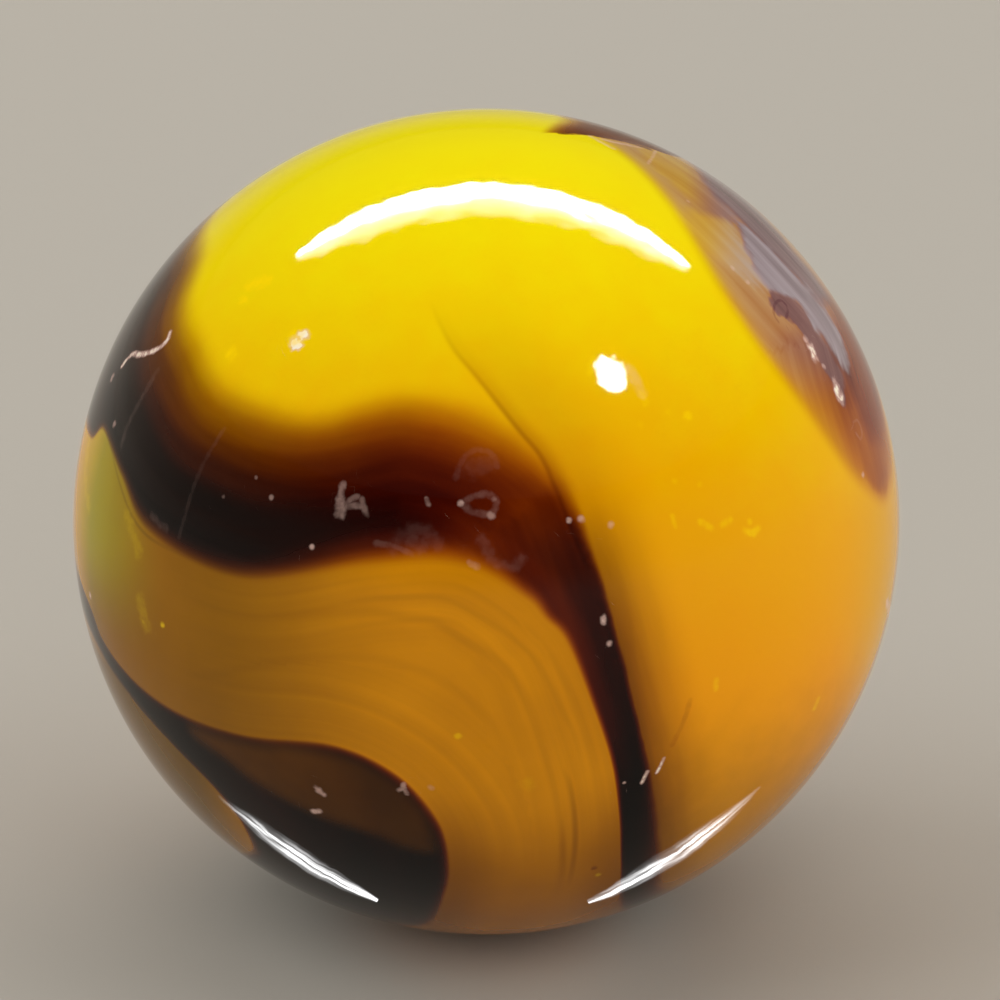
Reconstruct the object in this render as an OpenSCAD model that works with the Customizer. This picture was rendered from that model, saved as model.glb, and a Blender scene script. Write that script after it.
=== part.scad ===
// Glass swirl marble.
// One ball of solid glass, dropped hot and rolled round in a single piece. The base
// glass is golden yellow. A stream of oxblood glass lies folded in it and comes to the
// skin as one long ribbon: up the right shoulder, round behind the crown, across and
// down the front in an S, under the ball and back up as a lobe low on the left.
// Millimetres. The origin is the ball's centre, +Z is up and -Y is the front.

/* [Ball] */
// Diameter of the finished ball
ball_d = 15.9; // [10:0.1:40]

/* [Hidden] */

ball_r = ball_d / 2;
ball_facets = 96;

// Every colour stream is a wedge from the ball's centre out to past its skin, so the
// swirl is set in degrees and follows the ball's diameter.
reach = 1.25 * ball_r;
// Smooth steps from one station of a stream's edge to the next
steps = 3;

// The ribbon, station by station, from its tip low on the right shoulder to the tip of
// its tail behind the left side. A row is [turn, height] of the edge on the crown's
// side, then [turn, height] of the edge on the tongue's side, in degrees: turn is 0 at
// the front and positive to the right, height is 0 at the waist and 90 at the top.
shoulder = [
    [[72, 9], [75, 9]], [[63, 12], [82, 13]], [[57, 18], [88, 22]], [[51, 28], [94, 33]],
    [[48, 40], [102, 44]], [[50, 53], [114, 53]], [[58, 65], [130, 59]], [[74, 75], [146, 61]]
];
behind_crown = [
    [[74, 75], [146, 61]], [[62, 80], [158, 60]], [[130, 77], [170, 57]],
    [[180, 69], [-172, 52]], [[-140, 60], [-150, 41]], [[-112, 53], [-124, 28]],
    [[-89, 48], [-98, 18]]
];
bend = [
    [[-89, 48], [-98, 18]], [[-73, 45], [-80, 16]], [[-64, 39], [-65, 17]],
    [[-54, 34], [-56, 11]], [[-43, 29], [-45, 10]], [[-27, 28], [-29, 10]],
    [[-12, 33], [-15, 14]], [[1, 30], [-3, 14]], [[9, 23], [6, 10]], [[13, 13], [11, 3]],
    [[17, 1], [14, -6]], [[20, -10], [17, -15]], [[24, -22], [19, -24]],
    [[28, -33], [22, -35]]
];
under_ball = [
    [[28, -33], [22, -35]], [[36, -46], [28, -48]], [[58, -58], [46, -62]],
    [[100, -62], [90, -72]], [[150, -58], [165, -75]], [[-170, -52], [-125, -73]],
    [[-130, -46], [-70, -68]], [[-95, -46], [-32, -62]], [[-62, -46], [-14, -53]]
];
lobe = [
    [[-62, -46], [-14, -53]], [[-46, -40], [-8, -42]], [[-42, -33], [-5, -33]],
    [[-43, -28], [-7, -25]], [[-46, -24], [-12, -17]], [[-50, -21], [-21, -13]],
    [[-53, -19], [-35, -14]], [[-57, -17], [-48, -14]], [[-61, -15], [-58, -12]],
    [[-66, -13], [-66, -9]]
];
tail = [
    [[-66, -13], [-66, -9]], [[-74, -10], [-71, -5]], [[-90, -6], [-88, 0]],
    [[-110, -3], [-108, 2]], [[-130, -1], [-129, 2]]
];

// The amber tongue lies in the ribbon's fold. Its stations reach under the ribbon on
// both sides, and the ribbon cuts them back.
tongue = [
    [[-70, 22], [-66, -11]], [[-56, 18], [-55, -15]], [[-42, 17], [-42, -17]],
    [[-28, 17], [-30, -17]], [[-14, 21], [-20, -18]], [[0, 19], [-14, -24]],
    [[9, 13], [-9, -34]], [[14, 2], [-12, -45]], [[18, -12], [-20, -56]],
    [[22, -28], [-40, -65]], [[30, -45], [-80, -68]], [[55, -60], [-140, -68]],
    [[95, -68], [160, -68]]
];

// The fold line: a thread of dark glass drawn out over the crown, which thickens until
// it meets the ribbon
fold_line = [
    [[-9.2, 44], [-9.5, 44]], [[-3, 38.5], [-3.6, 38]], [[4.5, 31], [3.5, 30.5]],
    [[9.5, 24.5], [8, 24]], [[12, 18], [10, 18]]
];

// Point on a ball of radius 1
function on_ball(place) = [
    sin(place[0]) * cos(place[1]), -cos(place[0]) * cos(place[1]), sin(place[1])
];
function edge(stations, side) = [for (station = stations) on_ball(station[side])];

// A smooth curve on the ball through a stream's stations
function unit(v) = v / norm(v);
function pick(points, i) = points[max(0, min(len(points) - 1, i))];
function blend(a, b, c, d, t) =
    0.5 * (2 * b + (c - a) * t + (2 * a - 5 * b + 4 * c - d) * t * t
    + (3 * b - a - 3 * c + d) * t * t * t);
function smooth(points) = [
    for (i = [0 : len(points) - 2])
        for (k = [0 : steps - 1])
            unit(blend(pick(points, i - 1), points[i], points[i + 1], pick(points, i + 2), k / steps)),
    points[len(points) - 1]
];

module ball() {
    sphere(d = ball_d, $fn = ball_facets);
}

// The wedge of glass between the two edges of a stream
module stream(stations) {
    left = smooth(edge(stations, 0));
    right = smooth(edge(stations, 1));
    n = len(left);
    function l(i) = 1 + i;
    function r(i) = 1 + n + i;
    polyhedron(
        points = concat([[0, 0, 0]], reach * left, reach * right),
        faces = concat(
            [[0, l(0), r(0)], [0, r(n - 1), l(n - 1)]],
            [for (i = [0 : n - 2]) [0, l(i + 1), l(i)]],
            [for (i = [0 : n - 2]) [0, r(i), r(i + 1)]],
            [for (i = [0 : n - 2]) [l(i), r(i + 1), r(i)]],
            [for (i = [0 : n - 2]) [l(i), l(i + 1), r(i + 1)]]
        )
    );
}

module oxblood_streams() {
    stream(behind_crown);
    stream(bend);
    stream(under_ball);
    stream(lobe);
    stream(tail);
    stream(fold_line);
}

module marble() {
    color([0.93, 0.74, 0.02])
        difference() {
            ball();
            stream(tongue);
            stream(shoulder);
            oxblood_streams();
        }
    color([0.72, 0.48, 0.01])
        difference() {
            intersection() {
                ball();
                stream(tongue);
            }
            oxblood_streams();
        }
    color([0.60, 0.33, 0.20])
        intersection() {
            ball();
            stream(shoulder);
        }
    color([0.17, 0.05, 0.03])
        intersection() {
            ball();
            oxblood_streams();
        }
}

marble();
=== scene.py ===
import math

import bpy
import numpy as np
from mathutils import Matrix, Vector, noise


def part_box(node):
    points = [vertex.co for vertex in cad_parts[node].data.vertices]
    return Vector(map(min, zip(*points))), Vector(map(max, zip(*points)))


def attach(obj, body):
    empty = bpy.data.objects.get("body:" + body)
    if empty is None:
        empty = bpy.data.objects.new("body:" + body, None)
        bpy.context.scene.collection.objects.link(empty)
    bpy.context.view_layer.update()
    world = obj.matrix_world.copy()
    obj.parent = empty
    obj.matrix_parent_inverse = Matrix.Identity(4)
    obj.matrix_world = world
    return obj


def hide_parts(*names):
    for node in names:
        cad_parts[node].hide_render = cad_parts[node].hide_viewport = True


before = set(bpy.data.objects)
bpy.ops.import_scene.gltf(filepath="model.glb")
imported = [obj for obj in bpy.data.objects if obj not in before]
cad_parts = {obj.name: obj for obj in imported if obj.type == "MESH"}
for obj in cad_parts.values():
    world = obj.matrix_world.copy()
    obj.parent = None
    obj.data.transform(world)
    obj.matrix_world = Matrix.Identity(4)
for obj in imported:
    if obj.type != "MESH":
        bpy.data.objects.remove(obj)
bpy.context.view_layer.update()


# ---------------------------------------------------------------------------------------------
# Round gob. The marble is one gob of opaque yellow glass, cut hot from the stream and rolled
# round between grooved rollers. Its fire-polished skin keeps a ripple of a few thousandths of
# a millimetre, which bends the edges of what it mirrors.
# ---------------------------------------------------------------------------------------------
MM = 0.001
low_corner, high_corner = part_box("marble")
ball_r = min(high_corner - low_corner) / 2
ball_mm = ball_r / MM
skin_cells = 120            # cells along each side of the six squares that make up the skin
ripple_mm = 0.006           # how deep the ripple goes
ripple_span = 2.6           # from one swell to the next, in mm


def round_skin(cells):
    """Directions and four-cornered cells of a ball's skin, blown up from a cube."""
    steps = np.tan(np.linspace(-1, 1, cells + 1) * math.pi / 4)
    across, up = np.meshgrid(steps, steps, indexing="ij")
    points = []
    corners = []
    for axis in range(3):
        for side in (-1, 1):
            start = len(points) * (cells + 1) ** 2
            square = np.empty((cells + 1, cells + 1, 3))
            square[..., axis] = side
            square[..., (axis + 1) % 3] = across * side
            square[..., (axis + 2) % 3] = up
            points.append(square.reshape(-1, 3))
            at = start + np.arange((cells + 1) ** 2).reshape(cells + 1, cells + 1)
            cell = np.stack([at[:-1, :-1], at[1:, :-1], at[1:, 1:], at[:-1, 1:]], axis=-1)
            corners.append(cell.reshape(-1, 4))
    points = np.concatenate(points)
    points /= np.linalg.norm(points, axis=1, keepdims=True)
    # Where two squares meet, their points are joined.
    rounded = np.round(points * 1e6).astype(int)
    _, first, shared = np.unique(rounded, axis=0, return_index=True, return_inverse=True)
    return points[first], shared.reshape(-1)[np.concatenate(corners)]


skin, cells = round_skin(skin_cells)
ripple = np.array([noise.noise(Vector(p) * (ball_mm / ripple_span)) for p in skin])
ripple = (0.5 + 0.5 * ripple) * ripple_mm * MM
body_mesh = bpy.data.meshes.new("marble_glass")
body_mesh.from_pydata((skin * (ball_r - ripple)[:, None]).tolist(), [], cells.tolist())
body_mesh.shade_smooth()
marble = bpy.data.objects.new("marble_glass", body_mesh)
bpy.context.scene.collection.objects.link(marble)
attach(marble, "root")
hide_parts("marble")


class Recipe:
    """The steps that make up one finish. Each method adds a step and gives back its result."""

    def __init__(self, tree):
        self.tree = tree

    def wire(self, value, socket):
        """Links a result to a socket, or writes a plain number or colour on it."""
        if isinstance(value, bpy.types.NodeSocket):
            self.tree.links.new(value, socket)
        else:
            socket.default_value = value

    def sums(self, kind, *values):
        """Arithmetic on one, two or three numbers."""
        step = self.tree.nodes.new("ShaderNodeMath")
        step.operation = kind
        for socket, value in zip(step.inputs, values):
            self.wire(value, socket)
        return step.outputs[0]

    def times(self, one, other):
        return self.sums("MULTIPLY", one, other)

    def plus(self, one, other):
        return self.sums("ADD", one, other)

    def less(self, one, other):
        return self.sums("SUBTRACT", one, other)

    def slope(self, value, start, end, low=0.0, high=1.0, kind="SMOOTHSTEP"):
        """Goes from low to high while the value goes from start to end, and is level outside."""
        step = self.tree.nodes.new("ShaderNodeMapRange")
        step.interpolation_type = kind
        for socket, number in zip(step.inputs, (value, start, end, low, high)):
            self.wire(number, socket)
        return step.outputs[0]

    def mixed(self, share, under, over):
        """A share of the colour over, laid on the colour under."""
        step = self.tree.nodes.new("ShaderNodeMix")
        step.data_type = "RGBA"
        # The node keeps its two colours on its seventh and eighth inputs.
        for number, value in ((0, share), (6, under), (7, over)):
            self.wire(value, step.inputs[number])
        return step.outputs[2]

    def blend(self, share, under, over):
        """A share of the number over, laid on the number under."""
        return self.sums("MULTIPLY_ADD", share, self.less(over, under), under)

    def clouds(self, where, span, fine=2.0):
        """Soft random clouds from 0 to 1, one about every span of the places."""
        step = self.tree.nodes.new("ShaderNodeTexNoise")
        self.wire(where, step.inputs["Vector"])
        step.inputs["Scale"].default_value = 1.0 / span
        step.inputs["Detail"].default_value = fine
        return step.outputs["Fac"]

    def spread(self, share, reach):
        """A share from 0 to 1, spread out from -reach to reach."""
        return self.sums("MULTIPLY_ADD", share, 2 * reach, -reach)

    def joined(self, x, y, z=0.0):
        """Three numbers as one place."""
        step = self.tree.nodes.new("ShaderNodeCombineXYZ")
        for socket, value in zip(step.inputs, (x, y, z)):
            self.wire(value, socket)
        return step.outputs[0]

    def parts(self, place):
        """A place as three numbers."""
        step = self.tree.nodes.new("ShaderNodeSeparateXYZ")
        self.wire(place, step.inputs[0])
        return list(step.outputs)

    def scaled(self, place, times):
        """A place, so many times as far out."""
        step = self.tree.nodes.new("ShaderNodeVectorMath")
        step.operation = "SCALE"
        self.wire(place, step.inputs[0])
        step.inputs["Scale"].default_value = times
        return step.outputs[0]

    def strands(self, along, across, many_along, many_across):
        """Clouds drawn out into strands, so many per mm along them and across them."""
        place = self.joined(self.times(along, many_along), self.times(across, many_across))
        return self.clouds(place, 1.0, 3.0)

    def stained(self, under, thickness, takes_up):
        """The colour under, seen through a layer of clear coloured glass. takes_up says how
        much of the red, green and blue light the glass takes up."""
        step = self.tree.nodes.new("ShaderNodeVectorMath")
        step.operation = "MULTIPLY"
        self.wire(under, step.inputs[0])
        shares = [self.sums("POWER", math.exp(-share), thickness) for share in takes_up]
        self.wire(self.joined(*shares), step.inputs[1])
        return step.outputs[0]


glass_material = bpy.data.materials.new("swirl_glass")
glass_material.use_nodes = True
body_mesh.materials.append(glass_material)
glass = Recipe(glass_material.node_tree)
polish = glass_material.node_tree.nodes["Principled BSDF"]
polish.inputs["IOR"].default_value = 1.5
polish.inputs["Specular IOR Level"].default_value = 0.2

skin_place = glass.tree.nodes.new("ShaderNodeTexCoord").outputs["Object"]
spot = glass.scaled(skin_place, 1 / MM)      # a place on the skin, in millimetres
spot_x, spot_y, spot_z = glass.parts(spot)

# The yellow is lemon at the crown and goes through gold to a burnt yellow low down, in soft
# drifts. It stays lemon longest at the right, is duller low on the left and browner at the
# right limb.
lemon = (0.83, 0.70, 0.0, 1)
gold = (0.85, 0.375, 0.0, 1)
deep_gold = (0.87, 0.325, 0.0, 1)
burnt = (0.45, 0.18, 0.0, 1)
rim_gold = (0.76, 0.37, 0.0, 1)
dull = (0.15, 0.068, 0.0, 1)
drift = glass.spread(glass.clouds(spot, 5.0), 0.5)
warmth = glass.plus(spot_z, drift)
warmth = glass.plus(warmth, glass.spread(glass.clouds(spot, 0.7, 3.0), 0.6))
warmth = glass.sums("MULTIPLY_ADD", glass.sums("MINIMUM", spot_x, 0.0), -0.15, warmth)
yellowness = glass.sums("MULTIPLY_ADD", glass.sums("MAXIMUM", spot_x, 2.5), 0.35, warmth)
colour = glass.mixed(glass.slope(yellowness, -0.1, 3.9), deep_gold, gold)
colour = glass.mixed(glass.slope(yellowness, 3.1, 9.3), colour, lemon)
colour = glass.mixed(glass.slope(warmth, -0.8, -5.0), colour, burnt)
at_right = glass.times(glass.slope(spot_x, 6.2, 7.6), glass.slope(warmth, -4.0, -1.0))
colour = glass.mixed(at_right, colour, rim_gold)
low_left = glass.times(glass.slope(spot_x, -3.5, -5.5), glass.slope(spot_z, -0.5, -2.0))
low_left = glass.times(low_left, glass.slope(spot_y, 4.0, -1.0))
colour = glass.mixed(low_left, colour, dull)


# ---------------------------------------------------------------------------------------------
# Lines on the skin. Every stream of colour was laid on while the glass ran, so its two edges
# are smooth lines round the ball. A place on the skin is [turn, height] in degrees: turn goes
# to the right from the front, height goes up from the ball's widest ring.
# ---------------------------------------------------------------------------------------------
line_steps = 24             # points along a smooth line, from one place to the next
search_parts = 40           # the skin is searched part by part, to spare memory
mark_reach = 0.36           # how far from a mark its offset is still kept, in mm
mark_room = 0.55            # how close two marks may come on one layer, in mm
far_off = 99.0


def on_skin(place):
    """The direction from the ball's middle to a place on its skin."""
    turn, height = np.radians(place[0]), np.radians(place[1])
    level = math.cos(height)
    return np.array([math.sin(turn) * level, -math.cos(turn) * level, math.sin(height)])


def smooth_line(places, closed=False):
    """Close points of a smooth line through the places."""
    knots = np.array([on_skin(p) for p in places])
    if closed:
        knots = np.vstack([knots[-1:], knots, knots[:2]])
    else:
        knots = np.vstack([2 * knots[0] - knots[1], knots, 2 * knots[-1] - knots[-2]])
    line = []
    for k in range(1, len(knots) - 2):
        a, b, c, d = knots[k - 1:k + 3]
        for t in np.arange(line_steps) / line_steps:
            bend = t * (2 * a - 5 * b + 4 * c - d + t * (3 * (b - c) + d - a))
            line.append(b + t / 2 * (c - a + bend))
    if not closed:
        line.append(knots[-2])
    line = np.array(line)
    return line / np.linalg.norm(line, axis=1, keepdims=True)


def beside(places, closed=False):
    """For each point of the skin, in mm: how far to the right of the line it is, how far along
    it, and how far past its nearer end. Last comes the number of the place it is next to."""
    line = smooth_line(places, closed)
    ahead = np.gradient(line, axis=0)
    ahead /= np.linalg.norm(ahead, axis=1, keepdims=True)
    right = np.cross(ahead, line)
    lengths = np.linalg.norm(np.diff(line, axis=0), axis=1)
    run = np.concatenate([[0], np.cumsum(lengths)])
    parts = np.array_split(skin, search_parts)
    near = np.concatenate([np.argmax(part @ line.T, axis=1) for part in parts])
    off = skin - line[near]
    on = np.sum(off * ahead[near], axis=1)
    past = np.where(near == 0, np.minimum(on, 0), 0)
    past = np.where(near == len(line) - 1, np.maximum(on, 0), past)
    across = np.sum(off * right[near], axis=1)
    return across * ball_mm, (run[near] + on) * ball_mm, past * ball_mm, near / line_steps


def keep(name, values):
    """Stores one number or three for each point of the skin, and gives them back as a step of
    the finish."""
    kind, key, output = "FLOAT", "value", "Fac"
    if values.ndim == 2:
        kind, key, output = "FLOAT_VECTOR", "vector", "Vector"
    layer = body_mesh.attributes.new(name, kind, "POINT")
    layer.data.foreach_set(key, values.astype(np.float32).ravel())
    step = glass.tree.nodes.new("ShaderNodeAttribute")
    step.attribute_name = name
    return step.outputs[output]


def clamped(values):
    """Numbers held between 0 and 1."""
    return np.clip(values, 0, 1)


def patch(name, places):
    """How far inside an outline each point is, in mm. The outline goes round clockwise."""
    return keep(name, beside(places, closed=True)[0])


def marks(name, rows, fade=0.0):
    """Small marks on the skin. Each row is half a width in mm, a strength, and one place or the
    places of a line, which can fade over so many places at both ends. A point near a mark keeps
    its offset from it, in half widths. Marks that lie close together go on separate layers."""
    layers = []
    for half_width, strength, *places in rows:
        middle = on_skin(places[0])
        if len(places) > 1:
            across, _, past, at_place = beside(places)
            if fade:
                from_end = np.minimum(at_place, len(places) - 1 - at_place)
                strength = strength * clamped(from_end / fade)
        else:
            east = np.cross([0, 0, 1], middle)
            east /= np.linalg.norm(east)
            across = skin @ np.cross(middle, east) * ball_mm
            past = skin @ east * ball_mm
        past = np.where(skin @ middle > 0, past, far_off)    # none shows on the ball's far side
        distance = np.hypot(past, across)
        free = [layer for layer in layers if not np.any(layer[distance < mark_room, 2])]
        if not free:
            free = [np.tile([far_off, far_off, 0.0], (len(skin), 1))]
            layers += free
        near = distance < mark_reach
        free[0][near, 0] = past[near] / half_width
        free[0][near, 1] = across[near] / half_width
        free[0][near, 2] = np.broadcast_to(strength, len(skin))[near]
    return [keep(f"{name}_{number}", layer) for number, layer in enumerate(layers)]


def mark_share(layers, soft, ragged, span, thinnest=0.6):
    """How much of a mark covers the skin, thinner in patches and with a soft, ragged edge."""
    total = 0.0
    mottle = glass.clouds(spot, span)
    fray = glass.spread(mottle, ragged)
    for layer in layers:
        past, across, strength = glass.parts(layer)
        reach = glass.sums("MULTIPLY_ADD", past, past, glass.times(across, across))
        reach = glass.plus(glass.sums("SQRT", reach), fray)
        share = glass.times(glass.slope(reach, 1.0 - soft, 1.0 + soft, 1.0, 0.0), strength)
        total = glass.sums("MAXIMUM", total, share)
    return glass.times(total, glass.slope(mottle, 0.66, 0.36, thinnest, 1.0))


# ---------------------------------------------------------------------------------------------
# Oxblood ribbon. A stream of clear dark red glass that was laid on the yellow. It comes over
# the back of the crown, bends twice across the front, goes under the ball, swells to a lobe
# low on the left and runs out in a thin tail. Where it thins, the yellow shows through it.
# ---------------------------------------------------------------------------------------------

# Each station: [turn, height] of the crown-side edge and of the tongue-side edge, how fast the
# glass darkens from each edge (per mm), how dark it gets, and how far it shades the yellow.
ribbon = [
    [[23, 71], [96, 50], 6.0, 3.0, 1.4, 0],
    [[54, 79.8], [113, 57], 6.0, 3.0, 1.6, 0],
    [[118, 77.5], [138, 60.5], 3.0, 3.0, 2.2, 0],
    [[157, 75], [163, 59], 3.0, 3.0, 3.4, 0],
    [[178, 69], [-172, 52], 3.0, 3.0, 4.0, 0],
    [[-140, 60], [-150, 41], 3.0, 4.0, 4.0, 0],
    [[-112, 53], [-124, 28], 3.0, 6.0, 4.0, 0],
    [[-88, 48.5], [-98, 18], 3.0, 15.0, 4.0, 0],
    [[-71.5, 45.5], [-77, 16.5], 2.4, 18.0, 4.0, 0],
    [[-62.5, 39], [-70.5, 19.2], 2.2, 20.0, 4.2, 0],
    [[-53, 35.2], [-60, 15.6], 2.1, 15.0, 4.4, 0],
    [[-42.5, 30.8], [-51, 10.7], 2.1, 11.0, 4.4, 0],
    [[-27, 29.2], [-33, 8.4], 2.3, 9.0, 4.2, 0],
    [[-12, 32.6], [-15, 12.9], 2.0, 6.0, 3.4, 0],
    [[1, 30], [-3, 13.6], 1.8, 5.0, 2.6, 0],
    [[9.6, 23.6], [5.2, 9.0], 2.6, 8.0, 1.8, 0.1],
    [[12.1, 18.6], [7.8, 5.9], 7.0, 11.0, 1.9, 0.35],
    [[13.9, 13], [10.3, 2.8], 14.0, 14.0, 2.05, 0.95],
    [[17.1, 1], [13.6, -6], 24.0, 22.0, 2.4, 1.5],
    [[20.1, -10], [16.7, -15], 30.0, 35.0, 3.3, 1.55],
    [[24, -22], [19, -24], 14.0, 45.0, 6.0, 1.3],
    [[28, -33], [22, -35], 9.0, 45.0, 6.0, 1.0],
    [[36, -46], [28, -48], 7.0, 15.0, 5.0, 0.7],
    [[58, -58], [46, -62], 7.0, 10.0, 5.0, 0.4],
    [[100, -62], [90, -72], 7.0, 7.0, 5.0, 0.2],
    [[150, -58], [165, -75], 5.0, 7.0, 5.0, 0],
    [[-170, -52], [-125, -73], 5.0, 7.0, 5.0, 0],
    [[-130, -46], [-70, -68], 5.0, 7.0, 5.0, 0],
    [[-95, -46], [-32, -62], 7.0, 10.0, 5.0, 0],
    [[-62, -46], [-15, -55], 10.0, 15.0, 5.0, 0],
    [[-46, -40], [-7.8, -41.5], 15.0, 20.0, 4.5, 0],
    [[-42, -33], [-6.1, -33], 20.0, 20.0, 4.5, 0],
    [[-43, -28], [-7.1, -24.4], 20.0, 20.0, 4.5, 0],
    [[-46, -24], [-12.2, -16.8], 20.0, 20.0, 4.5, 0],
    [[-50, -21], [-21, -13.2], 20.0, 20.0, 4.5, 0],
    [[-53, -19], [-35, -14.4], 20.0, 20.0, 4.5, 0],
    [[-57, -17], [-48, -14], 20.0, 20.0, 5.0, 0],
    [[-61, -15], [-58, -12], 20.0, 20.0, 5.0, 0],
    [[-66, -13], [-66, -9], 20.0, 20.0, 5.0, 0],
    [[-74, -10], [-71, -5], 20.0, 20.0, 5.0, 0],
    [[-90, -6], [-88, 0], 15.0, 15.0, 5.0, 0],
    [[-110, -3], [-108, 2], 12.0, 12.0, 4.5, 0],
    [[-130, -1], [-129, 2], 10.0, 10.0, 4.0, 0],
]
clear_red = (1.0, 1.4, 3.2)
brown_shade = (0.95, 1.12, 1.0)
crown_start = 0.35          # how dark the glass already is along its two edges
tongue_start = 0.7
# On the crown the ribbon ends in a slanting front, where the rust shoulder begins. Past the
# crown's stations the front no longer cuts it.
crown_stations = 3.6
well_behind = 9
front = [[-1, 79.7], [54, 79.8], [75, 76.5], [88, 71], [96, 64], [110, 60], [127, 57]]

crown_across, crown_along, crown_past, at_crown = beside([s[0] for s in ribbon])
tongue_across, tongue_along, tongue_past, at_tongue = beside([s[1] for s in ribbon])
station = np.arange(len(ribbon))
# The ribbon lies to the right of its crown-side edge and to the left of its tongue-side edge.
from_crown = keep("from_crown_edge", crown_across)
from_tongue = keep("from_tongue_edge", -tongue_across)
along_crown = keep("along_crown_edge", crown_along)
along_tongue = keep("along_tongue_edge", tongue_along)
crown_darkens = keep("crown_darkens", np.interp(at_crown, station, [s[2] for s in ribbon]))
tongue_darkens = keep("tongue_darkens", np.interp(at_tongue, station, [s[3] for s in ribbon]))
darkest = keep("darkest", np.interp(at_crown, station, [s[4] for s in ribbon]))
run_out = keep("run_out", np.hypot(crown_past, tongue_past))
behind_front = -beside(front)[0]
from_front = keep("from_front", behind_front)
in_ribbon = keep("in_ribbon", np.where(at_crown > crown_stations, well_behind, behind_front))

wobble = glass.spread(glass.clouds(spot, 0.8), 0.05)
crown_depth = glass.plus(from_crown, wobble)
crown_depth = glass.sums("MULTIPLY_ADD", crown_depth, crown_darkens, crown_start)
tongue_depth = glass.sums("MULTIPLY_ADD", from_tongue, tongue_darkens, tongue_start)
depth = glass.sums("SMOOTH_MIN", crown_depth, tongue_depth, 0.6)
depth = glass.sums("SMOOTH_MIN", depth, darkest, 1.0)
depth = glass.sums("SMOOTH_MAX", depth, 0.0, 0.8)
strands = glass.strands(along_crown, from_crown, 0.25, 2.2)
depth = glass.times(depth, glass.slope(strands, 0.2, 0.8, 0.88, 1.12))
depth = glass.times(depth, glass.slope(run_out, 0.0, 0.5, 1.0, 0.0))
depth = glass.times(depth, glass.slope(in_ribbon, -0.04, 0.06))

# The yellow beside the ribbon's right edge is stained by the red glass that runs on under it.
shade_wide = 1.4            # in mm
shade_reach = clamped(1 + np.minimum(crown_across, 0) / shade_wide) ** 2
shade = keep("ribbon_shade", np.interp(at_crown, station, [s[5] for s in ribbon]) * shade_reach)
shade = glass.times(shade, glass.slope(strands, 0.2, 0.8, 0.8, 1.2))
colour = glass.stained(colour, shade, brown_shade)


# ---------------------------------------------------------------------------------------------
# Amber tongue. The yellow that the ribbon folds round is a browner glass, because dark glass
# lies under it. It was drawn out in sheets, which show as fine streaks beside the ribbon.
# ---------------------------------------------------------------------------------------------
amber = (0.64, 0.24, 0.0, 1)
brown_amber = (0.26, 0.103, 0.0, 1)
# painted light: the glow of light passing through the glass at the left limb
lit_through_chartreuse = (0.37, 0.315, 0.0, 1)
# painted reflection: a dim brown veil laid on the lobe
reflected_brown_veil = (0.30, 0.095, 0.0, 1)
sheet_brown = (0.95, 1.08, 1.0)
green_only = (0.0, 1.0, 0.0)

# It lies on the tongue side of the ribbon from the ribbon's first bend on: across the front from
# its left end to its right end, and all round under the ball.
first_bend = 7
side_soft = 0.6
turn_of = np.degrees(np.arctan2(skin[:, 0], -skin[:, 1]))
height_of = np.degrees(np.arcsin(np.clip(skin[:, 2], -1, 1)))
tongue_side = clamped((crown_across + tongue_across) / side_soft) * (at_crown > first_bend)
in_front = np.interp(turn_of, [-82, -68, 60, 70], [0, 1, 1, 0])
below = np.interp(height_of, [-56, -48], [1, 0])
in_tongue = keep("in_tongue", tongue_side * np.maximum(in_front, below))
tongue_colour = glass.mixed(glass.slope(spot_x, -5.0, -0.9), brown_amber, amber)
# At the left limb the tongue turns chartreuse: painted light, standing for light that passes through the
# glass there.
at_left = glass.times(glass.slope(spot_x, -5.7, -7.7), glass.slope(spot_z, -1.4, 1.2))
tongue_colour = glass.mixed(at_left, tongue_colour, lit_through_chartreuse)
# Low down it darkens, most of all beside the ribbon.
near_ribbon = glass.slope(from_tongue, -1.2, 0.0)
dim = glass.times(near_ribbon, glass.slope(spot_z, -2.0, -4.5, 0.0, 0.5))
dim = glass.plus(dim, glass.slope(spot_z, -2.5, -5.5, 0.0, 0.60))
dim = glass.less(dim, glass.slope(spot_z, -6.0, -7.2, 0.0, 0.5))
sheets = glass.less(glass.strands(along_tongue, from_tongue, 0.04, 3.6), 0.5)
sheets = glass.times(sheets, glass.slope(from_tongue, -2.6, -0.9))
sheets = glass.times(sheets, glass.slope(spot_x, -6.2, -3.6))
sheets = glass.times(sheets, glass.slope(spot_z, -5.2, -2.6))
dim = glass.sums("MULTIPLY_ADD", sheets, 0.5, dim)
smoke = glass.clouds(spot, 1.6, 3.0)
dim = glass.plus(dim, glass.spread(smoke, 0.15))

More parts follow.
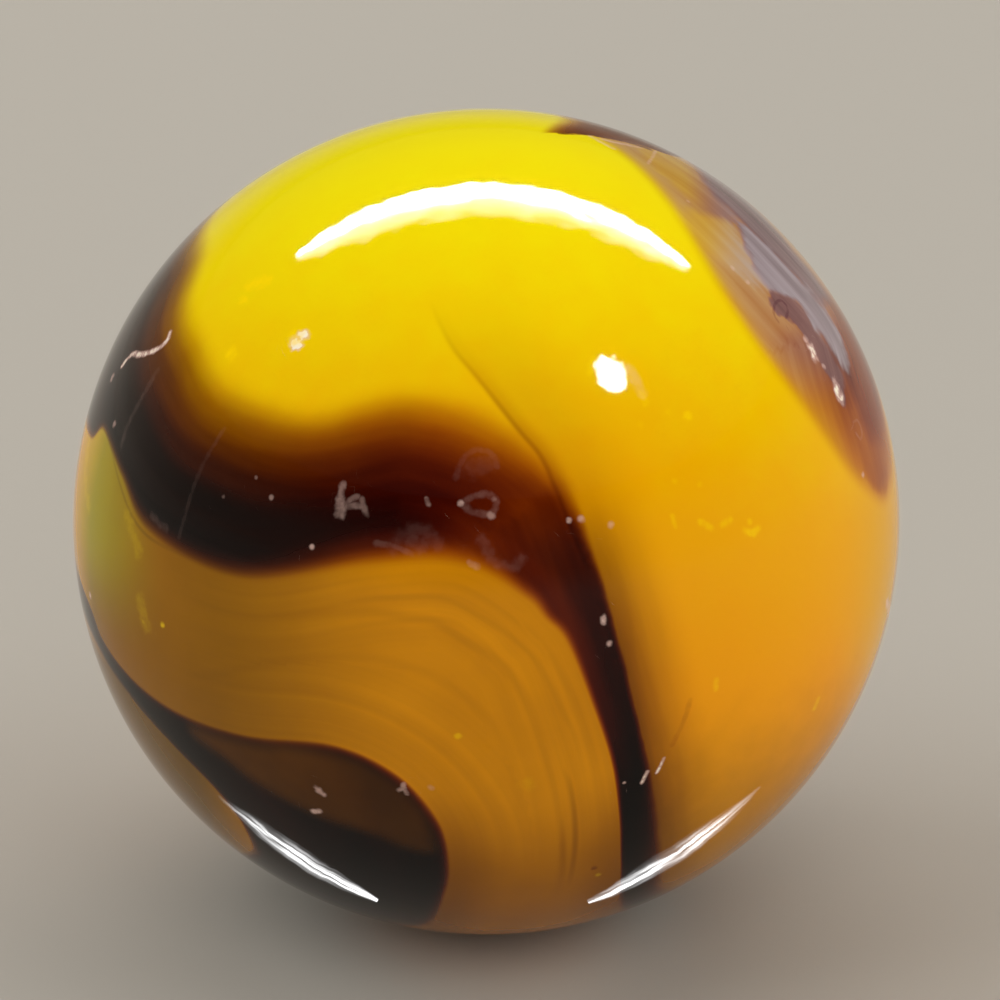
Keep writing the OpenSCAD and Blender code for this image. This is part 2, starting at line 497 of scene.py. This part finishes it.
# Darker sheets seen edge on.
streak_lines = marks("tongue_streaks", [
    [0.08, 0.08, [-44, -7.6], [-39, -6.4], [-28.4, -2.5], [-22.2, -0.9], [-15.6, 0], [-11.6, -0.4],
     [-7.7, -1.5], [-3.9, -3.7], [-0.7, -6.7], [1.2, -9.3], [3, -13.8], [4.4, -20.6], [4.6, -27]],
    [0.08, 0.15, [-28, 3.6], [-20.5, 5.1], [-14.8, 6], [-10, 5.7], [-6.5, 5.3], [-3.1, 3.2], [0, 1.3],
     [3, -1.7], [5.9, -7.3], [8.5, -16.2], [10.4, -23.7], [11.5, -30.5], [12.4, -38.9], [12.4, -44]],
    [0.06, 0.36, [9.6, -20], [10.6, -24.5], [11.5, -30.5], [12.2, -36], [12.4, -42]],
    [0.045, 0.42, [10.2, -15.5], [11.2, -18.3], [12.4, -23.8], [13.3, -30.1], [13.8, -36], [14, -40]],
    [0.07, 0.10, [-22, 8.3], [-14.1, 9.7], [-7.8, 10.5], [-3.9, 10.2], [0, 8.4], [3.8, 5.5], [6.9, 2.3],
     [9.2, -1.5], [11.4, -5.9], [13.1, -10.8], [14.2, -14.8], [15, -21]],
    [0.05, 0.11, [-24, 6.2], [-15.6, 7.7], [-11.6, 8.1], [-5.7, 8.3], [-2, 6.7], [2.3, 4], [5.8, 0.7],
     [8.1, -3.5], [9.7, -7.1], [11.6, -11.1], [13, -17]],
    [0.03, 0.3, [-70.4, 19.4], [-65, 17.4], [-60.2, 14.4], [-55.8, 11.5], [-51.8, 9.8], [-47.2, 9.1],
     [-41, 8.6]],
], 1.8)
streak = mark_share(streak_lines, 0.95, 0.2, 0.8, 0.9)
dim = glass.plus(dim, streak)
tongue_colour = glass.stained(tongue_colour, dim, sheet_brown)
colour = glass.mixed(in_tongue, colour, tongue_colour)

# The ribbon's red glass lies over both yellows. It is redder towards the right.
colour = glass.stained(colour, depth, clear_red)
redder = glass.times(depth, glass.slope(spot_x, -5.0, -0.5, 0.0, 0.35))
colour = glass.stained(colour, redder, green_only)

# In the lobe a painted reflection, a dim brown veil mottled in soft clouds, is laid over the red
# glass.
lobe = patch("lobe_painted_reflection", [
    [-44, -16.2], [-34, -15.6], [-27, -14.8], [-21, -14.8], [-16, -16], [-12, -19], [-9.2, -23],
    [-8.4, -29.5], [-12, -29.5], [-16, -27.5], [-22, -26], [-28, -24], [-34, -21.5], [-39, -18.6]])
lobe = glass.slope(lobe, -0.3, 0.2)
lobe = glass.times(lobe, glass.slope(spot_x, -5.2, -1.2, 0.30, 0.15))
lobe = glass.times(lobe, glass.slope(smoke, 0.3, 0.7, 0.8, 1.2))
colour = glass.mixed(lobe, colour, reflected_brown_veil)


# ---------------------------------------------------------------------------------------------
# Fold. Where the gob was cut and folded over, a crease runs from the crown into the ribbon's
# outer bend. A thin dark line of painted shade lies in it, and painted shade darkens the yellow
# along its right side, most of all close to the line.
# ---------------------------------------------------------------------------------------------
fold = [
    [-10.5, 46.9], [-8.3, 43.8], [-5.3, 40.0], [-1.6, 36.4], [4.4, 29.6], [7.4, 26.1], [9.0, 22.5],
    [10.8, 17.5],
]
# the tint of the crease's painted shade
crease_shade_tint = (0.9, 1.3, 1.0)
fold_starts = 2.6           # how long the line takes to come out on the crown, in mm
fold_ends = 1.2             # and to run out in the ribbon
crease_shade_strength = 0.5            # how strongly the crease's painted shade darkens the yellow
fold_across, fold_along, fold_past, _ = beside(fold)
fold_side = keep("fold_side", -fold_across)
fold_grows = clamped(fold_along / fold_starts) * clamped(1 - np.abs(fold_past) / fold_ends)
fold_grows = keep("fold_grows", fold_grows)
fold_line = glass.slope(glass.sums("ABSOLUTE", fold_side), 0.0, 0.09, 0.48, 0.0)
fold_shade = glass.slope(fold_side, 0.0, 0.34, 0.36, 0.0)
fold_shade = glass.plus(fold_shade, glass.slope(fold_side, 0.3, 1.9, 0.26, 0.0))
fold_shade = glass.times(fold_shade, glass.slope(fold_side, -0.06, 0.02))
fold_depth = glass.times(glass.plus(fold_line, fold_shade), fold_grows)
colour = glass.stained(colour, glass.times(fold_depth, crease_shade_strength), crease_shade_tint)


# ---------------------------------------------------------------------------------------------
# Rust shoulder. A wide stream of the same clear red glass, thinner, that comes down the right
# side from the back of the crown to a point. Pale smoky glass was drawn out in it: it is pink
# where the red over it is thin and lavender where it is thick.
# ---------------------------------------------------------------------------------------------
smoke_white = (0.38, 0.325, 0.34, 1)
rust_red = (1.0, 1.9, 3.2)
shoulder_edge = [
    [94.5, 80.5], [75.6, 76.2], [66, 71], [58.9, 65.5], [51.5, 56.5], [47.3, 46], [48, 36.5],
    [52, 27], [57.5, 17.7], [63, 12.4], [70, 8.5], [77, 9.5], [82, 13], [88, 22], [94, 33],
    [102, 44], [114, 53], [130, 59], [146, 61],
]
drawn_line = [
    [96, 68], [86, 65], [80, 57.5], [76, 49.5], [75.5, 43], [76.5, 37], [75.5, 30], [72, 24],
    [71, 12],
]

edge_across, _, edge_past, _ = beside(shoulder_edge)
drawn_across, drawn_along, _, _ = beside(drawn_line)
# The stream lies to the left of its edge, which runs down one side and up the other.
from_edge = keep("from_shoulder_edge", -edge_across)
edge_past = keep("past_shoulder_edge", np.abs(edge_past))
# The smoke lies in wisps along the way it was drawn out.
drawn_across = keep("across_drawn_line", drawn_across)
drawn_along = keep("along_drawn_line", drawn_along)
wisps = glass.less(glass.strands(drawn_along, drawn_across, 0.3, 3.0), 0.5)
wisps = glass.times(wisps, glass.slope(spot_z, 2.2, 4.0, 0.5, 1.0))
fray = glass.spread(glass.clouds(spot, 0.35, 3.0), 0.15)
fray = glass.plus(fray, glass.times(wisps, 0.4))

# How much red glass and how much milk there is. The patches come one over the other: their red,
# their milk, where their soft edge starts and ends (mm inside the outline), and the outline.
red = glass.sums("MULTIPLY_ADD", from_edge, 0.75, 0.2)
red = glass.sums("SMOOTH_MIN", red, glass.slope(spot_z, 4.9, 3.1, 0.65, 3.1), 0.5)
milk = glass.slope(spot_z, 3.3, 4.6, 0.03, 0.24)
tan_milk = glass.slope(spot_x, 3.6, 4.8, 0.12, 0.50)
tan_red = glass.slope(spot_x, 3.6, 4.6, 0.5, 1.3)
pink_milk = glass.slope(spot_x, 3.9, 4.9, 0.12, 0.64)
for name, patch_red, patch_milk, start, end, outline in [
    ("tip", 0.85, 0.03, -0.15, 0.3, [
        [70.4, 23.2], [72, 20], [75, 15], [74, 11], [69, 10], [65, 13.5], [64.5, 18.5], [65.6, 23]]),
    ("limb_brown", 1.4, 0.03, -0.4, 0.4, [
        [85, 37], [87, 34.5], [91, 29.5], [92, 23.5], [84, 19.5], [78, 17.5], [71, 18], [68, 21.5],
        [71, 25], [75.5, 29], [79, 33]]),
    ("tan", tan_red, tan_milk, -0.2, 0.25, [
        [88, 69], [107, 62], [95.5, 59], [83, 56], [73.5, 52.5], [66.5, 53.5], [63.5, 56], [63.5, 59],
        [66.5, 63], [71, 66.5]]),
    ("pink", 0.42, pink_milk, -0.15, 0.2, [
        [58.5, 58], [64, 56], [68.5, 53], [66.5, 50], [64, 46.5], [62.5, 42.5], [60, 42.5], [56, 46],
        [53, 48.5], [51.5, 51], [53, 54.5]]),
    ("mauve", 2.3, 0.36, -0.15, 0.25, [
        [108, 59], [104, 53.5], [94, 49], [88, 44], [86, 38.5], [84, 35.5], [75, 37], [74, 41], [73, 45],
        [73, 49.5], [76, 53.5], [79, 57.5]]),
    ("lavender", 2.2, 0.73, -0.1, 0.15, [
        [72, 53], [74.5, 49.5], [74.5, 45], [75.5, 41], [76, 37], [76, 33.5], [75, 30], [71.5, 27],
        [70, 28.5], [69, 31], [68.5, 33.5], [66.5, 35], [67.5, 37], [67.5, 39], [64, 40.5], [61.5, 42.5],
        [62, 45.5], [64.5, 48], [68, 50.5]]),
    ("blot", 1.9, 0.24, -0.05, 0.09, [
        [61.2, 42], [65.7, 39.9], [67.5, 38.2], [66.6, 34.6], [67.5, 32.7], [67.9, 29.9], [68.5, 27.5],
        [65.7, 24.6], [63.6, 23.8], [63.3, 26.5], [63.2, 29.8], [62.6, 32.9], [61.6, 36.5], [60.2, 38.2],
        [58.4, 39], [58.6, 40.4]]),
]:
    inside = glass.slope(glass.plus(patch(name, outline), fray), start, end)
    red = glass.blend(inside, red, patch_red)
    milk = glass.blend(inside, milk, patch_milk)
red = glass.times(red, glass.sums("MULTIPLY_ADD", wisps, -1.1, 1.0))
milk = glass.times(milk, glass.sums("MULTIPLY_ADD", wisps, 1.6, 1.0))
milk = glass.times(milk, glass.slope(from_edge, 0.0, 0.5))
in_shoulder = glass.slope(from_edge, -0.15, 0.35)
in_shoulder = glass.times(in_shoulder, glass.slope(edge_past, 0.0, 0.3, 1.0, 0.0))
in_shoulder = glass.times(in_shoulder, glass.slope(from_front, -0.05, 0.10, 1.0, 0.0))
colour = glass.stained(colour, glass.times(red, in_shoulder), rust_red)
colour = glass.mixed(glass.times(milk, in_shoulder), colour, smoke_white)


# ---------------------------------------------------------------------------------------------
# Dark threads. Fine dark lines and specks of the red glass that strayed into the yellow, the line
# where the shoulder and the ribbon meet on the crown, and one along the ribbon's right edge.
# ---------------------------------------------------------------------------------------------
threads = marks("threads", [
    [0.05, 1.0, [61.6, 78.7], [75.6, 76.2], [82.0, 73.6], [87.1, 70.9], [89.9, 67.3]],
    [0.06, 0.5, [17.5, -35.5]],
    [0.03, 0.25, [57.5, 37.8], [57.5, 39.1], [59.7, 40.2], [62.3, 40.3], [62.7, 38.9], [60.2, 37.9]],
    [0.05, 0.14, [27.1, -7.6], [26.5, -10.4], [25.2, -13.9]],
    [0.08, 0.3, [11.3, 17.2], [12.2, 14.8], [13.7, 11], [14.8, 7], [15.7, 3], [16.3, 0.2]],
])
thread_red = (1.3, 1.9, 1.5)
colour = glass.stained(colour, mark_share(threads, 0.6, 0.4, 0.15), thread_red)


# ---------------------------------------------------------------------------------------------
# Handling marks. Chips, nicks, crumbs and rubs that came from play: pale and matt. The brightest
# carry a painted glint in their colour, one bright nick on the crown is a painted glint, and a
# pale scrape also paints the pink tail of the round lamp's highlight. A few lemon motes lie in
# the yellow itself.
# ---------------------------------------------------------------------------------------------
chips = marks("chips", [
    # a hook-shaped nick and a ringed bruise on the ribbon
    [0.055, 0.25, [-19.7, 21.7], [-19.8, 20.8], [-19.7, 19.7]],
    [0.08, 0.30, [-19.7, 19.6], [-19.6, 18.0]],
    [0.045, 0.17, [-18.9, 19.4], [-18.2, 20.0], [-17.5, 20.3]],
    [0.05, 0.20, [-18.9, 19.0], [-17.5, 19.2], [-16.7, 19.2]],
    [0.045, 0.18, [-16.8, 20.0], [-16.3, 18.8], [-15.9, 18.2]],
    [0.05, 0.08, [-3.3, 20.2], [-2.4, 19.3], [-0.9, 18.9], [0.6, 18.9], [1.3, 20.0], [1.0, 21.1],
     [-0.3, 21.4], [-1.9, 21.0], [-3.3, 20.2]],
    [0.05, 0.65, [-3.4, 20.2]],
    [0.06, 0.34, [0.6, 18.7]],
    [0.05, 0.22, [1.0, 20.8]],
    [0.05, 0.03, [-4.2, 23.4], [-3.5, 25.3], [-2.4, 26.5], [-0.9, 26.9], [0.9, 26.3], [1.4, 24.8]],
    [0.15, 0.02, [-2.0, 24.6], [0.2, 25.2]],
    # rubs and crust along the ribbon's lower edge
    [0.11, 0.028, [-12.0, 14.3], [-11.0, 15.8], [-9.5, 16.7], [-7.6, 16.4], [-6.3, 14.9]],
    [0.14, 0.035, [-9.8, 15.4], [-8.6, 14.8]],
    [0.09, 0.04, [-0.5, 15.6], [0.3, 14.1]],
    [0.08, 0.045, [0.4, 13.2], [2.3, 12.4], [3.6, 12.2], [4.5, 13.3]],
    [0.05, 0.16, [-2.1, 12.8], [-1.3, 12.4]],
    [0.05, 0.06, [-14.4, 14.7], [-11.9, 14.5], [-9.5, 13.7]],
    [0.07, 0.04, [-50.6, 12.4], [-48.7, 11.8], [-47.5, 11.5]],
    # scratches across the ribbon's left end
    [0.06, 0.035, [-60.4, 30.1], [-60.8, 28.0], [-61.4, 25.9], [-62.5, 21.7], [-62.4, 18.9]],
    [0.04, 0.02, [-40.5, 26.1], [-41.3, 24.2], [-42.3, 21.8], [-43.1, 19.2],
     [-43.7, 16.0], [-44.2, 13.0], [-44.6, 11]],
    # nicks along the ribbon and the lobe
    [0.04, 0.6, [-23.1, 13.4]],
    [0.04, 0.3, [-30.0, 18.8]],
    [0.03, 0.2, [-33.0, 20.9]],
    [0.03, 0.2, [-37.8, 17.6]],
    [0.04, 0.25, [-8.0, 20.6], [-7.7, 19.9]],
    [0.045, 0.6, [10.8, 17.8]],
    [0.055, 0.45, [12.5, 17.8]],
    [0.05, 0.4, [16.4, 16.8]],
    [0.05, 1.0, [14.8, 5.2], [14.9, 4.7]],
    [0.045, 0.6, [15.6, 1.8]],
    [0.03, 0.7, [18.9, -18.9]],
    [0.06, 0.6, [-24.1, -20.7], [-23.4, -21.4]],
    [0.05, 0.7, [-25.8, -25.2], [-24.6, -24.8]],
    [0.04, 0.5, [-11.2, -18.1], [-11.4, -18.8]],
    [0.04, 0.5, [-11.2, -18.8], [-12, -19.2]],
    [0.04, 0.4, [-11.2, -18.9], [-10.9, -19.7]],
    [0.055, 0.35, [-7.6, -18.4]],
    # a painted glint on the crown, laid on as a bright nick
    [0.10, 1.5, [-32.1, 40.1]],
    [0.11, 1.5, [-32.7, 38.9]],
    [0.06, 0.5, [-33.9, 39.4]],
    # a pale scrape right of the middle, which also paints the pink tail of the round lamp's highlight
    [0.09, 0.16, [23.0, 36.4], [23.4, 34.8], [24.0, 33.0]],
    # nicks at the left, and one at the right
    [0.06, 0.7, [-68.8, -3.7]],
    [0.08, 0.4, [-75.8, 25.3]],
    [0.06, 0.35, [-67.0, 20.8]],
    [0.05, 0.4, [-84.4, 23.0]],
    [0.08, 0.6, [72.2, -5.9], [78.6, -10.1]],
    # a long crooked nick at the left
    [0.05, 0.85, [-73.6, 27.7], [-71.6, 29.9], [-68.4, 30.6], [-64.1, 32.3], [-62.2, 34.0], [-62.6, 35.3]],
    # flakes on the shoulder, and crumbs along its top
    [0.07, 0.75, [62.4, 34.2]],
    [0.10, 0.95, [62.6, 32.9], [62.1, 31.8]],
    [0.05, 0.5, [63.4, 29.9]],
    [0.07, 0.6, [64.5, 27.6]],
    [0.12, 1.0, [64.2, 26.4], [64.2, 25.3]],
    [0.025, 0.1, [65.4, 21.4], [67.2, 21.2], [67.4, 19.6], [66.2, 18.8], [65.2, 19.8]],
    [0.05, 0.7, [63.7, 14.5]],
    [0.05, 0.3, [55.4, 47.0]],
    [0.05, 0.3, [56.5, 44.4]],
    [0.04, 0.3, [62.8, 58.5]],
    [0.05, 0.4, [75.6, 75.4], [72.0, 73.8], [69.4, 71.6]],
    [0.05, 0.4, [77.1, 73.7], [80.5, 71.4], [86.4, 68.7]],
    [0.03, 0.3, [92.7, 66.3], [78.3, 66.7], [71.0, 66.5]],
    [0.09, 0.6, [104.8, 54.4]],
    # two slanting nicks beside the foot of the ribbon
    [0.035, 0.9, [21.6, -19.3], [22.1, -17.6]],
    [0.03, 0.9, [23.6, -18.0], [24.3, -15.8]],
])
chip = mark_share(chips, 0.7, 0.7, 0.14)
# The deep ones are nearly white: pale chips with a painted glint in their colour.
crushed = (0.76, 0.50, 0.42, 1)
chalk_glint = (0.93, 0.84, 0.66, 1)
chip_colour_and_glint = glass.mixed(glass.slope(chip, 0.6, 1.0), crushed, chalk_glint)
colour = glass.mixed(chip, colour, chip_colour_and_glint)

motes = marks("motes", [
    [0.05, 0.9, [-47.3, -1.4]],
    [0.05, 0.4, [-51.5, -2.1]],
    [0.12, 0.2, [-52.1, 0.7], [-50.9, -2.5]],
    [0.12, 0.2, [-56.7, 11.0], [-54.6, 9.1], [-52.9, 7.1]],
    [0.12, 0.25, [-76.3, 15.3], [-74.2, 11.6], [-70.2, 8.6]],
    [0.05, 0.7, [-3.7, -10.2]],
    [0.05, 0.6, [18.7, -37.5]],
    [0.12, 0.2, [5.4, -17.8]],
    [0.12, 1.0, [-44.5, 35.7]],
    # the lemon glow round the painted glint on the crown
    [0.14, 1.0, [-33.0, 39.5]],
    [0.12, 0.9, [-49.0, 45.3], [-46, 46.5]],
    [0.10, 0.9, [-48.6, 43.0]],
    [0.08, 1.0, [30.5, 29.2]],
    [0.05, 0.4, [27.5, 30.1]],
    [0.05, 0.5, [26.3, 21.4]],
    [0.05, 0.3, [30.1, 20.4]],
    [0.08, 0.4, [16.8, 68.0]],
    [0.06, 0.3, [22.6, 28.9]],
    [0.06, 0.6, [17.4, 38.0], [16.4, 36.4]],
    # this mote also paints the end of that pink tail beside the round lamp's highlight
    [0.06, 0.5, [24.0, 33.1], [24.2, 31.7]],
    [0.05, 0.7, [29.2, 15.7], [30.9, 14.7]],
    [0.05, 0.7, [32.5, 14.9], [34.0, 15.2]],
    [0.06, 0.9, [36.1, 13.5], [37.2, 12.9], [38.3, 13.4]],
    [0.05, 0.7, [37.0, 14.4]],
    [0.04, 0.5, [25.2, 17.1], [25.5, 15.6]],
    [0.05, 0.6, [30.9, -6.6], [30.7, -5.4]],
    [0.06, 0.6, [51.7, -13.8], [51.4, -14.9]],
])
mote = mark_share(motes, 0.8, 0.9, 0.15)
lemon_mote = (0.98, 0.66, 0.0, 1)
colour = glass.mixed(glass.times(mote, 0.6), colour, lemon_mote)

# The glass is polished, and matt where it is chipped.
polished = 0.03
matt = 0.35
glass.wire(colour, polish.inputs["Base Color"])
glass.wire(glass.slope(chip, 0.0, 1.0, polished, matt), polish.inputs["Roughness"])


# ---------------------------------------------------------------------------------------------
# Stage. A plain pale paper floor that curves up into a wall all round, so that every side of the
# marble has the same quiet surroundings. The wall darkens softly towards its top.
# ---------------------------------------------------------------------------------------------
middle_r = 0.05             # one flat sheet in the middle, and rings round it
floor_r = 0.50
bend_r = 0.05
wall_top = 0.25
shade_from = 0.06           # how high up the wall starts to darken
ring_sides = 128
bend_steps = 12
profile = [(middle_r, 0.0), (floor_r, 0.0)]
for bend_step in range(1, bend_steps + 1):
    bend_turn = math.radians(90) * bend_step / bend_steps
    profile.append((floor_r + bend_r * math.sin(bend_turn), bend_r - bend_r * math.cos(bend_turn)))
profile.append((floor_r + bend_r, wall_top))
stage_points = []
stage_cells = [tuple(range(ring_sides))]
for ring, (out, up) in enumerate(profile):
    for side in range(ring_sides):
        way = 2 * math.pi * side / ring_sides
        stage_points.append((out * math.cos(way), out * math.sin(way), low_corner.z + up))
        if ring:
            here = ring * ring_sides + side
            beyond = ring * ring_sides + (side + 1) % ring_sides
            stage_cells.append((here, beyond, beyond - ring_sides, here - ring_sides))
stage_mesh = bpy.data.meshes.new("studio_sweep")
stage_mesh.from_pydata(stage_points, [], stage_cells)
stage_mesh.shade_smooth()
sweep = bpy.data.objects.new("studio_sweep", stage_mesh)
bpy.context.scene.collection.objects.link(sweep)
sweep.visible_shadow = False         # the wall keeps none of the lamps' light off the marble
pale_paper = bpy.data.materials.new("pale_paper")
pale_paper.use_nodes = True
sheet = Recipe(pale_paper.node_tree)
paper = pale_paper.node_tree.nodes["Principled BSDF"]
_, _, up_wall = sheet.parts(sheet.tree.nodes.new("ShaderNodeTexCoord").outputs["Object"])
pale = (0.44, 0.405, 0.35, 1)
grey = (0.06, 0.055, 0.05, 1)
wall_shade = sheet.slope(up_wall, shade_from, wall_top)
sheet.wire(sheet.mixed(wall_shade, pale, grey), paper.inputs["Base Color"])
paper.inputs["Roughness"].default_value = 0.9
paper.inputs["Specular IOR Level"].default_value = 0.0
stage_mesh.materials.append(pale_paper)


# ---------------------------------------------------------------------------------------------
# Lamps. Four soft lamps light the ball evenly from the top, the right, the left and the front.
# The others only show as highlights in the polish: a long window above and behind, a round lamp
# in front, and two slips of light that lie on the floor beside the foot.
# ---------------------------------------------------------------------------------------------
def soft_sun(name, towards, strength, spread):
    """A far soft lamp. At strength 1 a white card that faces it is white."""
    lamp = bpy.data.lights.new(name, "SUN")
    lamp.energy = strength * math.pi
    lamp.angle = math.radians(spread)
    stand = bpy.data.objects.new(name, lamp)
    bpy.context.scene.collection.objects.link(stand)
    stand.rotation_mode = "QUATERNION"
    stand.rotation_quaternion = Vector(towards).to_track_quat("Z", "Y")
    stand.visible_glossy = False


def highlight_lamp(name, at, towards, wide, high):
    """A small lamp that is seen only in the polish: its recipe, its places and its strength."""
    lamp = bpy.data.lights.new(name, "AREA")
    lamp.shape = "RECTANGLE"
    lamp.size = wide
    lamp.size_y = high
    lamp.energy = math.pi * wide * high
    lamp.use_nodes = True
    stand = bpy.data.objects.new(name, lamp)
    bpy.context.scene.collection.objects.link(stand)
    stand.location = at
    stand.rotation_mode = "QUATERNION"
    stand.rotation_quaternion = Vector(towards).to_track_quat("-Z", "Y")
    stand.visible_diffuse = False
    stand.visible_camera = False
    light = Recipe(lamp.node_tree)
    place = light.tree.nodes.new("ShaderNodeNewGeometry").outputs["Position"]
    glow = lamp.node_tree.nodes["Emission"].inputs["Strength"]
    return light, place, glow


soft_sun("top", (0.05, 0.30, 0.95), 0.36, 60)
soft_sun("right", (1.0, -0.15, 0.42), 0.56, 50)
soft_sun("left", (-0.8, -0.1, 0.6), 0.53, 60)
soft_sun("front", (0.1, -0.85, 0.48), 0.34, 50)

# The long window hangs level above and behind. Its near third has a thin blind, and its near
# edge bends away at both ends. Places on it are given as shares of its height.
dazzling = 90.0
window_up = 0.30
window_x = 0.045
window_half = 0.86
window_far = 0.69
window_near = 0.30
pane_far = 0.645
pane_bow = 0.06             # how much nearer the far edge comes at both ends
near_bend = 0.19            # how much farther the near edge goes there
window_middle = 0.5 * (window_far + window_near)
light, place, glow = highlight_lamp(
    "long_window", (window_x * window_up, window_middle * window_up, window_up),
    (0, 0, -1), 2 * window_half * window_up, (window_far - window_near) * window_up)
place_x, place_y, _ = light.parts(light.scaled(place, 1 / window_up))
end = light.sums("DIVIDE", light.less(place_x, window_x), window_half)
end_2 = light.times(end, end)
end_4 = light.times(end_2, end_2)
far = light.sums("MULTIPLY_ADD", end_2, -pane_bow, pane_far)
near = light.sums("MULTIPLY_ADD", end_4, near_bend, window_near)
pane = light.sums("DIVIDE", light.less(place_y, near), light.less(far, near))
ragged = light.clouds(place, 0.03, 3.0)
pane = light.plus(pane, light.spread(ragged, 0.25))
blind = light.slope(pane, 0.0, 0.5, 0.0, 0.30, "LINEAR")
clear = light.slope(pane, 0.40, 0.62, 0.0, 1.0)
bright = light.times(light.plus(blind, clear), light.slope(pane, 1.0, 0.84))
end = light.plus(light.sums("ABSOLUTE", end), light.spread(ragged, 0.03))
bright = light.times(bright, light.slope(end, 1.0, 0.94))
light.wire(light.times(bright, dazzling), glow)

# The round lamp is bright up to its soft, ragged edge.
lamp_at = (0.154, -0.118, 0.229)
lamp_towards = (-0.513, 0.392, -0.764)
lamp_wide = 0.06
lamp_fray = 0.015
full_r = 0.018              # full bright this far out from its middle
dark_r = 0.026              # and dark from here on
light, place, glow = highlight_lamp("round_lamp", lamp_at, lamp_towards, lamp_wide, lamp_wide)
middle = light.tree.nodes.new("ShaderNodeVectorMath")
middle.operation = "DISTANCE"
light.wire(place, middle.inputs[0])
middle.inputs[1].default_value = lamp_at
ragged = light.clouds(place, 0.015, 2.0)
out = light.less(middle.outputs["Value"], lamp_fray)
out = light.sums("MULTIPLY_ADD", ragged, 2 * lamp_fray, out)
light.wire(light.slope(out, full_r, dark_r, dazzling, 0.0), glow)

# The two slips on the floor are bowed strips of light in strands. They are thin at both ends
# and fade towards their outer ends. Their sizes are in millimetres.
slip_room = 3.4             # the depth of the panel that a slip lies on
slip_back = 0.5             # how far back the panel is set, because the slip bows that way
slip_lift = 0.05            # how high it lies over the floor
slip_wobble = 0.25
for name, side, middle_x, middle_y, long, tilt, bow in [
    ("left_slip", -1, -5.3, -3.7, 5.6, -0.22, 0.08),
    ("right_slip", 1, 5.4, -3.7, 6.2, 0.22, 0.06),
]:
    at = Vector((middle_x * MM, (middle_y + slip_back) * MM, low_corner.z + slip_lift * MM))
    light, place, glow = highlight_lamp(name, at, (0, 0, 1), long * MM, slip_room * MM)
    place_x, place_y, _ = light.parts(light.scaled(place, 1 / MM))
    run = light.less(place_x, middle_x)
    bowed = light.times(run, light.sums("MULTIPLY_ADD", run, bow, tilt))
    ragged = light.clouds(light.joined(run, middle_x), 1.2, 3.0)
    bowed = light.sums("MULTIPLY_ADD", ragged, 2 * slip_wobble, bowed)
    bowed = light.less(bowed, slip_wobble)
    aside = light.less(light.less(place_y, middle_y), bowed)
    end = light.sums("DIVIDE", run, 0.5 * long)
    half = light.sums("MULTIPLY_ADD", light.times(end, end), -0.5, 0.64)
    strands = light.strands(run, aside, 0.5, 4.5)
    share = light.sums("DIVIDE", light.sums("ABSOLUTE", aside), half)
    share = light.plus(share, light.spread(strands, 0.6))
    shine = light.slope(share, 0.2, 1.2, 1.0, 0.0)
    shine = light.times(shine, light.slope(strands, 0.38, 0.66, 1.5, 20))
    shine = light.times(shine, light.slope(end, 0.1 * side, side, 1.0, 0.05))
    light.wire(shine, glow)

# A little light comes from everywhere.
room = bpy.data.worlds.new("room")
bpy.context.scene.world = room
room.use_nodes = True
room_light = room.node_tree.nodes["Background"]
room_light.inputs["Color"].default_value = (1.0, 1.0, 1.0, 1)
room_light.inputs["Strength"].default_value = 0.08


# ---------------------------------------------------------------------------------------------
# Camera. A long lens that looks down a little on the ball, which nearly fills its picture.
# ---------------------------------------------------------------------------------------------
camera_distance = 0.0725
camera_height = math.radians(18)
level, up = math.cos(camera_height), math.sin(camera_height)
aim_right = 0.00026         # the camera looks a little right of the ball's middle and above it
aim_up = 0.00041
lens = bpy.data.cameras.new("camera")
lens.lens = 135
lens.sensor_width = 36
lens.clip_start = 0.002
lens.clip_end = 3.0
camera = bpy.data.objects.new("camera", lens)
bpy.context.scene.collection.objects.link(camera)
camera.location = (0, -camera_distance * level, camera_distance * up)
aim = Vector((aim_right, aim_up * up, aim_up * level))
camera.rotation_mode = "QUATERNION"
camera.rotation_quaternion = (aim - camera.location).to_track_quat("-Z", "Y")
bpy.context.scene.camera = camera
bpy.context.scene.view_settings.view_transform = "Standard"
